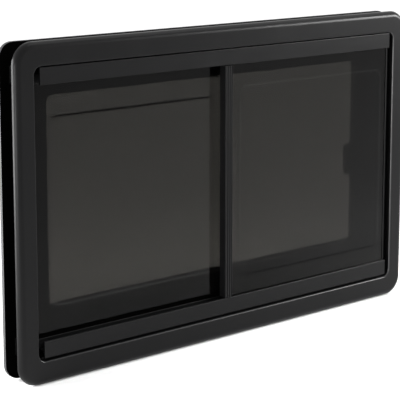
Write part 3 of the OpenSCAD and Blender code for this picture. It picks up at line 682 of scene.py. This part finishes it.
# Of each cassette the side that faces the view, its direction from there and a lip of its slot.
CASSETTES = {"blind": (213.0, 1, -57.5), "screen": (-198.5, -1, -68.5)}
for which, (base, flip, mouth) in CASSETTES.items():
    profile = outline(cassette_section(mouth), CASSETTE_RADII, 9) + [flip * base, 0]
    piece(f"{which}_housing", [along_x(profile, [-CASSETTE_END, CASSETTE_END], flip)],
          f"{which}_cassette", smooth=40)

# %% Cassette caps
def cap_section(inset):
    """Outline of a moulded cap, drawn in from the cassette's outline by inset."""
    corners = rectangle(inset, TALL - inset, BACK + inset, FRONT)
    return outline(corners, [10 - inset, 10 - inset, 1.0, 1.0], 11)


def cap(base, flip, side, thick=5.0, edge=1.5):
    """Cap whose outer edge is rounded: its sections draw in by edge * (1 - cos a) as it ends."""
    a = np.linspace(0, pi / 2, 6)
    inset = np.concatenate([[0.0], edge * (1 - np.cos(a))])
    x = np.concatenate([[CASSETTE_END], CASSETTE_END + thick - edge + edge * np.sin(a)])
    rows = []
    for station, drawn_in in zip(side * x, inset):
        p = cap_section(drawn_in)
        rows.append(np.stack([np.full(len(p), station), -p[:, 1], flip * p[:, 0] + base], -1))
    return shell(np.stack(rows))


for which, (base, flip, _) in CASSETTES.items():
    piece(f"{which}_end_caps", [cap(base, flip, -1), cap(base, flip, 1)],
          f"{which}_cassette_caps", smooth=40)

# %% Pull bars
def pull_bar(low, front, flip, end=417.0, groove_end=362.0, fade=10.0, steps=4):
    """Bar 15 mm high and 8 mm deep. Its groove is 4 mm deep in the middle and fades out at each
    end: depth = 4 * smooth step of the distance from the groove's end over the length of fade."""
    half = np.concatenate([np.linspace(groove_end - fade, groove_end, 8), [groove_end + 1, end]])
    x = np.concatenate([-half[::-1], half])
    t = np.clip((groove_end - np.abs(x)) / fade, 0, 1)
    groove_depth = 4.0 * t * t * (3 - 2 * t)
    base = outline([(0, 0), (15, 0), (15, 8), (10, 8), (9.4, 7.999), (5.6, 7.999), (5, 8), (0, 8)],
                   [1, 1, 1.5, 0.3, 0.3, 0.3, 0.3, 1.5], steps)
    inside = np.repeat([0, 0, 0, 0, 1, 1, 0, 0], steps)
    y = front + base[None, :, 1] - groove_depth[:, None] * inside[None, :]
    z = flip * base[None, :, 0] + low
    x, y, z = np.broadcast_arrays(x[:, None], y, z)
    return shell(np.stack([x, y, z], -1))


piece("blind_handle_bar", [pull_bar(197.5, 57.5, 1)], "blind_pull_bar", smooth=40)
piece("screen_handle_bar", [pull_bar(-183.0, 68.5, -1)], "screen_pull_bar", smooth=40)

# %% [markdown]
# ## Latch
# The latch sits on the inner side of the sliding pane. From outside only its dark outline shows
# through the tinted sheets. From inside it is the one part that a hand touches every day, so its
# lever gets a scooped grip. The base is a stack of rings with a rounded edge. The lever is an
# outline carried through its thickness, with a hollow pressed into its face by a formula.

# %% Latch base
latch = (320.6, 396.6, -28.0, 33.0, 5.0, 0.0)
LATCH_BACK, LATCH_TOP, LATCH_EDGE = 7.2, 19.2, 2.5
shoulder = LATCH_TOP - LATCH_EDGE
latch_rings = [grown(latch, 0, LATCH_BACK)]
latch_rings += [grown(latch, -LATCH_EDGE * (1 - np.cos(a)), shoulder + LATCH_EDGE * np.sin(a))
                for a in np.linspace(0, pi / 2, 7)]
piece("latch_housing", [shell(ring_stack(latch_rings, 10))], "latch_base", smooth=40)


# %% Latch lever
PIN_X, PIN_Z = 358.6, 2.5


def lever(thick=6.0, edge=1.1, rings=9):
    """Lever as rings of one outline. The front rings shrink towards the outline's own spine, and
    each point sinks by 2.2 * exp(-((x + 16) / 11)^2 - (z / 9)^2), a soft hollow for a finger."""
    corners = [(-30, -12), (8, -12), (14, -6), (55.4, -6), (55.4, 6), (14, 6), (8, 12), (-30, 12)]
    rim_points = outline(corners, [11.9, 5, 5, 1.5, 1.5, 5, 5, 11.9], 9)
    spine = np.stack([np.clip(rim_points[:, 0], -18, 51), np.zeros(len(rim_points))], -1)
    a = np.linspace(0, pi / 2, 5)
    share = np.concatenate([[0, 0], 0.09 * (1 - np.cos(a)), np.linspace(0.2, 0.97, rings)])
    side = thick - edge
    level = np.concatenate([[0, side], side + edge * np.sin(a), np.full(rings, thick)])
    p = rim_points[None] + (spine - rim_points)[None] * share[:, None, None]
    dip = 2.2 * np.exp(-((p[..., 0] + 16) / 11) ** 2 - (p[..., 1] / 9) ** 2)
    dip *= (level >= thick - 0.1)[:, None]
    y = LATCH_TOP + 0.05 + level[:, None] - dip
    return shell(np.stack([p[..., 0] + PIN_X, y, p[..., 1] + PIN_Z], -1))


piece("latch_grip", [lever()], "latch_lever", smooth=40)

# %% [markdown]
# ## Screws
# The inner frame is pulled against the outer one by screws along its rim. A turned outline is the
# natural way to make a screw head. Its drive recess has six lobes, and that is the same surface
# with one more term: the radius of the inner rings swells and shrinks with the cosine of six times
# the angle. One head is computed, and the places are added to it as an array.

# %% Screw head
def screw_head(radius, height):
    """Turned head. A ring has radius r * (1 + lobe * cos(6 a)) at its height. The dome has r =
    radius * cos(t)^0.6 at height * sin(t), and the rings of the recess have a lobe of 0.16."""
    t = np.linspace(0, 0.3 * pi, 4)
    r = radius * np.concatenate([np.cos(t) ** 0.6, [0.5, 0.46, 0.4]])
    h = height * np.concatenate([np.sin(t), [1.0, 0.9, 0.1]])
    lobe = np.array([0, 0, 0, 0, 0, 0.16, 0.16])
    a = np.linspace(0, 2 * pi, 24, endpoint=False)
    r = r[:, None] * (1 + lobe[:, None] * np.cos(6 * a))
    return np.stack([r * np.cos(a), np.broadcast_to(h[:, None], r.shape), r * np.sin(a)], -1)


def screws(name, places, radius, height, slot):
    """The same head at each place (x, y, z), its back on the surface there."""
    head = screw_head(radius, height)
    shells = [shell(head + np.asarray(place, float)) for place in places]
    return piece(name, shells, slot=slot, smooth=40)


row = np.linspace(-405.0, 405.0, 6)
column = np.linspace(-150.0, 165.0, 3)
back = INDOORS - 0.1
frame_places = [(x, back, 279.0) for x in row] + [(x, back, -272.0) for x in row]
frame_places += [(side * 453.5, back, z) for side in (-1, 1) for z in column]
screws("trim_screws", frame_places, 3.2, 2.0, "pin_steel")
print("screws on the inner frame:", len(frame_places))

# %% [markdown]
# ## Effects that several finishes share
# Grain, handling marks and weave turn up on more than one part. Each is built once as a shader
# node group with named inputs, and a material only gives it its own numbers. A group hands out
# heights and masks. The shader itself stays in the material, so the export can read it.

# %% Node helpers
def new_group(name, inputs, outputs):
    """Shader node group with float or vector inputs and float outputs, by name."""
    tree = bpy.data.node_groups.new(name, "ShaderNodeTree")
    for label, kind, value in inputs:
        socket = tree.interface.new_socket(label, in_out="INPUT", socket_type=kind)
        if value is not None:
            socket.default_value = value
    for label in outputs:
        tree.interface.new_socket(label, in_out="OUTPUT", socket_type="NodeSocketFloat")
    return tree, tree.nodes.new("NodeGroupInput"), tree.nodes.new("NodeGroupOutput")


def math_node(tree, operation, first, second):
    """A math node whose inputs are sockets or plain numbers."""
    node = tree.nodes.new("ShaderNodeMath")
    node.operation = operation
    for socket, value in zip(node.inputs, (first, second)):
        if hasattr(value, "node"):
            tree.links.new(value, socket)
        else:
            socket.default_value = value
    return node.outputs[0]


def noise_node(tree, vector, scale, detail, rough=0.55):
    """Noise whose vector and scale come from sockets."""
    node = tree.nodes.new("ShaderNodeTexNoise")
    tree.links.new(vector, node.inputs["Vector"])
    tree.links.new(scale, node.inputs["Scale"])
    node.inputs["Detail"].default_value = detail
    node.inputs["Roughness"].default_value = rough
    return node.outputs["Fac"]


def mix_colours(tree, factor, first, second):
    """Mix of two colours, each a socket or three numbers, by a factor socket."""
    node = tree.nodes.new("ShaderNodeMix")
    node.data_type = "RGBA"
    tree.links.new(factor, node.inputs["Factor"])
    for socket, value in ((node.inputs[6], first), (node.inputs[7], second)):
        if hasattr(value, "node"):
            tree.links.new(value, socket)
        else:
            socket.default_value = (*value, 1)
    return node.outputs[2]


# %% Grain group
def build_grain():
    """Height: fine noise with a slow swell under it. Mottle: a middle-sized noise for colour."""
    tree, given, result = new_group(
        "grain", [("Vector", "NodeSocketVector", None), ("Scale", "NodeSocketFloat", 900.0)],
        ["Height", "Mottle"])
    fine = noise_node(tree, given.outputs["Vector"], given.outputs["Scale"], 3.0)
    slow_scale = math_node(tree, "MULTIPLY", given.outputs["Scale"], 0.12)
    slow = noise_node(tree, given.outputs["Vector"], slow_scale, 2.0)
    swell = math_node(tree, "MULTIPLY", slow, 0.6)
    tree.links.new(math_node(tree, "ADD", fine, swell), result.inputs["Height"])
    tree.links.new(slow, result.inputs["Mottle"])
    return tree


# %% Handling group
def build_handling():
    """Mask of faint wipe and finger marks: a broad noise, cut so that most of it is zero."""
    tree, given, result = new_group(
        "handling", [("Vector", "NodeSocketVector", None), ("Scale", "NodeSocketFloat", 9.0)],
        ["Mask"])
    broad = noise_node(tree, given.outputs["Vector"], given.outputs["Scale"], 5.0, 0.6)
    cut = tree.nodes.new("ShaderNodeMapRange")
    cut.interpolation_type = "SMOOTHSTEP"
    cut.inputs["From Min"].default_value = 0.50
    cut.inputs["From Max"].default_value = 0.72
    tree.links.new(broad, cut.inputs["Value"])
    tree.links.new(cut.outputs["Result"], result.inputs["Mask"])
    return tree


# %% Weave group
def build_weave():
    """Height and mask of a plain weave: two sets of sine threads at right angles, of which the
    higher one shows."""
    tree, given, result = new_group(
        "weave", [("Vector", "NodeSocketVector", None), ("Threads", "NodeSocketFloat", 1200.0)],
        ["Height", "Mask"])
    heights = []
    for axis in ("X", "Z"):
        wave = tree.nodes.new("ShaderNodeTexWave")
        wave.bands_direction = axis
        tree.links.new(given.outputs["Vector"], wave.inputs["Vector"])
        tree.links.new(given.outputs["Threads"], wave.inputs["Scale"])
        heights.append(wave.outputs["Fac"])
    top = math_node(tree, "MAXIMUM", heights[0], heights[1])
    tree.links.new(top, result.inputs["Height"])
    tree.links.new(math_node(tree, "MULTIPLY", heights[0], heights[1]), result.inputs["Mask"])
    return tree


GROUPS = {"grain": build_grain(), "handling": build_handling(), "weave": build_weave()}
print("groups:", {name: len(tree.nodes) for name, tree in GROUPS.items()})


# %% Material builder
def placed_group(tree, name, vector, **values):
    """Places a group in a material, feeds it a vector and sets its other inputs."""
    node = tree.nodes.new("ShaderNodeGroup")
    node.node_tree = GROUPS[name]
    tree.links.new(vector, node.inputs["Vector"])
    for label, value in values.items():
        node.inputs[label].default_value = value
    return node


def finish(slot, dark, light, rough, grain_scale, bump_mm, stretch=(1, 1, 1), marks=0.06,
           metallic=0.0, specular=0.5, pattern="grain", mark_scale=9.0, painted_highlight=0.0):
    """A finish from two close colours that the grain mixes, a roughness range, marks that add to
    the roughness, and a bump whose distance is a real height. Where a gain for the painted
    highlight is given, a point attribute times that gain adds to the specular level, a painted
    highlight."""
    material = bpy.data.materials.new(slot)
    material.use_nodes = True
    tree = material.node_tree
    shader = tree.nodes["Principled BSDF"]
    place = tree.nodes.new("ShaderNodeTexCoord")
    mapping = tree.nodes.new("ShaderNodeMapping")
    mapping.inputs["Scale"].default_value = stretch
    tree.links.new(place.outputs["Object"], mapping.inputs["Vector"])
    scale = {"Threads": grain_scale} if pattern == "weave" else {"Scale": grain_scale}
    grain = placed_group(tree, pattern, mapping.outputs["Vector"], **scale)
    handling = placed_group(tree, "handling", place.outputs["Object"], Scale=mark_scale)
    mottle = grain.outputs["Mask" if pattern == "weave" else "Mottle"]
    tree.links.new(mix_colours(tree, mottle, dark, light), shader.inputs["Base Color"])
    spread = tree.nodes.new("ShaderNodeMapRange")
    spread.inputs["To Min"].default_value, spread.inputs["To Max"].default_value = rough
    tree.links.new(mottle, spread.inputs["Value"])
    worn = math_node(tree, "MULTIPLY", handling.outputs["Mask"], marks)
    uneven = math_node(tree, "ADD", spread.outputs["Result"], worn)
    tree.links.new(uneven, shader.inputs["Roughness"])
    bump = tree.nodes.new("ShaderNodeBump")
    bump.inputs["Distance"].default_value = bump_mm * MM
    tree.links.new(grain.outputs["Height"], bump.inputs["Height"])
    tree.links.new(bump.outputs["Normal"], shader.inputs["Normal"])
    shader.inputs["Metallic"].default_value = metallic
    shader.inputs["Specular IOR Level"].default_value = specular
    # Painted highlight: the point attribute adds to the specular level where it is set.
    if painted_highlight:
        highlight_layer = tree.nodes.new("ShaderNodeAttribute")
        highlight_layer.attribute_name = "painted_highlight"
        extra = math_node(tree, "MULTIPLY", highlight_layer.outputs["Fac"], painted_highlight)
        highlighted_specular = math_node(tree, "ADD", extra, specular)
        tree.links.new(highlighted_specular, shader.inputs["Specular IOR Level"])
    return material


# %% [markdown]
# ## Finishes
# The flange and the rails have a satin powder coat, the same black with a slightly different
# gloss, and an extruded part shows a faint grain along its length. The plastics indoors have a
# leather-like grain. Rubber is dull and mottled. All the blacks stay above pure black, since
# nothing real is that dark.

# %% Opaque finishes
materials = {
    # The frame's black carries the painted highlight on the edge of the opening.
    "frame_black": finish("frame_black", (0.0034, 0.0034, 0.0036), (0.0046, 0.0046, 0.0048),
                          (0.27, 0.35), 1400, 0.012, specular=0.115, painted_highlight=1.0),
    "rail_black": finish("rail_black", (0.0034, 0.0034, 0.0036), (0.0048, 0.0048, 0.0050),
                         (0.28, 0.37), 700, 0.010, stretch=(0.12, 1, 1), specular=0.115),
    "stile_black": finish("stile_black", (0.0044, 0.0044, 0.0046), (0.0060, 0.0060, 0.0062),
                          (0.32, 0.42), 700, 0.010, stretch=(1, 1, 0.12), specular=0.14),
    "black_rubber": finish("black_rubber", (0.008, 0.008, 0.0085), (0.013, 0.013, 0.013),
                           (0.62, 0.78), 500, 0.03, marks=0.1, specular=0.3),
    # Painted shade: near-black with no shine at all, for the tape and foam in the gap between the
    # frames.
    "foam_black_painted_shade": finish("foam_black_painted_shade", (0.0007, 0.0007, 0.0007), (0.0014, 0.0014, 0.0014),
                         (0.9, 1.0), 600, 0.05, specular=0.0),
    "brush_pile": finish("brush_pile", (0.006, 0.006, 0.0065), (0.012, 0.012, 0.0125),
                         (0.8, 0.95), 900, 0.02, specular=0.2),
    "glider_plastic": finish("glider_plastic", (0.66, 0.66, 0.63), (0.72, 0.72, 0.69),
                             (0.35, 0.45), 600, 0.01),
    "latch_plastic": finish("latch_plastic", (0.012, 0.012, 0.0135), (0.018, 0.018, 0.02),
                            (0.42, 0.54), 1100, 0.04, marks=0.12, mark_scale=30.0),
    "pin_steel": finish("pin_steel", (0.045, 0.045, 0.05), (0.07, 0.07, 0.075),
                        (0.28, 0.42), 900, 0.01, metallic=1.0),
    "inner_plastic": finish("inner_plastic", (0.011, 0.011, 0.012), (0.016, 0.016, 0.017),
                            (0.44, 0.56), 1000, 0.05, marks=0.08, specular=0.42),
    "blind_fabric": finish("blind_fabric", (0.42, 0.41, 0.37), (0.56, 0.55, 0.50),
                           (0.7, 0.85), 260, 0.06, pattern="weave", specular=0.25),
    "screen_mesh": finish("screen_mesh", (0.035, 0.035, 0.038), (0.1, 0.1, 0.105),
                          (0.6, 0.75), 180, 0.12, pattern="weave", specular=0.3),
}
print("opaque finishes:", len(materials))

# %% [markdown]
# ## Smoke-tinted acrylic
# The sheets are clear plastic with a grey-brown tint. Each face multiplies the light by the square
# root of the base colour, so a sheet passes its base colour. The outer sheet of a pane passes about
# 4 % of the light and the inner one 49 %, together 2 %. With the darker sheet outside, what the
# faces behind it mirror is dim, and the picture has less grain. The refractive index is 1.3 and not
# the 1.49 of acrylic, so that the far side of a pane mirrors less of the floor. Where "bend" is
# below
# 0 it mixes tint and mirror towards black, a painted dark line, and above 0 it mixes the mirror
# towards white, a painted highlight.

# %% Acrylic
BLACK, WHITE = (0.0, 0.0, 0.0), (1.0, 1.0, 1.0)


def acrylic(name, through, gloss, index=1.3):
    """Clear sheet whose base colour is the share of light that it passes. Handling marks take 1.5 %
    off it. Where the attribute "bend" is above 0 the mirror has a painted highlight, and below 0
    the sheet has a painted dark line."""
    material = bpy.data.materials.new(name)
    material.use_nodes = True
    tree = material.node_tree
    shader = tree.nodes["Principled BSDF"]
    place = tree.nodes.new("ShaderNodeTexCoord")
    handling = placed_group(tree, "handling", place.outputs["Object"], Scale=6.0)
    marked = [0.985 * share for share in through]
    tint = mix_colours(tree, handling.outputs["Mask"], through, marked)
    # Painted highlight and painted shade: above 0 the attribute "bend" tints the mirror towards
    # white, below 0 it takes tint and mirror towards black.
    line = tree.nodes.new("ShaderNodeAttribute")
    line.attribute_name = "bend"
    light = math_node(tree, "MAXIMUM", line.outputs["Fac"], 0.0)
    below = math_node(tree, "MULTIPLY", line.outputs["Fac"], -1.0)
    dark = math_node(tree, "MAXIMUM", below, 0.0)
    shaded_gloss = mix_colours(tree, dark, (gloss, gloss, gloss), BLACK)
    tree.links.new(mix_colours(tree, dark, tint, BLACK), shader.inputs["Base Color"])
    tree.links.new(mix_colours(tree, light, shaded_gloss, WHITE), shader.inputs["Specular Tint"])
    shader.inputs["Roughness"].default_value = 0.0
    shader.inputs["IOR"].default_value = index
    shader.inputs["Transmission Weight"].default_value = 0.98
    return material


OUTSIDE, INSIDE = (0.0444, 0.0427, 0.0396), (0.490, 0.484, 0.470)
materials["tinted_acrylic"] = acrylic("tinted_acrylic", OUTSIDE, 0.36)
materials["formed_acrylic"] = acrylic("formed_acrylic", INSIDE, 0.05)
print("a pane passes", [round(a * b, 4) for a, b in zip(OUTSIDE, INSIDE)])

# %% [markdown]
# ## Dressing
# Every piece and every CAD node that still shows gets the finish of its slot. Five pieces have a
# version of their own: the stile because its grain runs upwards, the tape and the foam because
# their near-black finish without shine is painted shade for the gap between the frames, and the
# formed sheets because they pass more light than the flat ones.

# %% Dress
OWN_FINISH = {"meeting_stile_grip": "stile_black",
              "neck_tape_painted_shade": "foam_black_painted_shade", "rim_foam_painted_shade": "foam_black_painted_shade",
              "sliding_pane_inside": "formed_acrylic", "fixed_pane_inside": "formed_acrylic"}
dressed = 0
for item in bpy.context.scene.objects:
    if item.type != "MESH" or item == floor or item.hide_render:
        continue
    slot = item.get("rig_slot") or slot_of[item["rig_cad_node"]]
    item.data.materials.clear()
    item.data.materials.append(materials[OWN_FINISH.get(item.name, slot)])
    dressed += 1
print("dressed", dressed, "pieces")
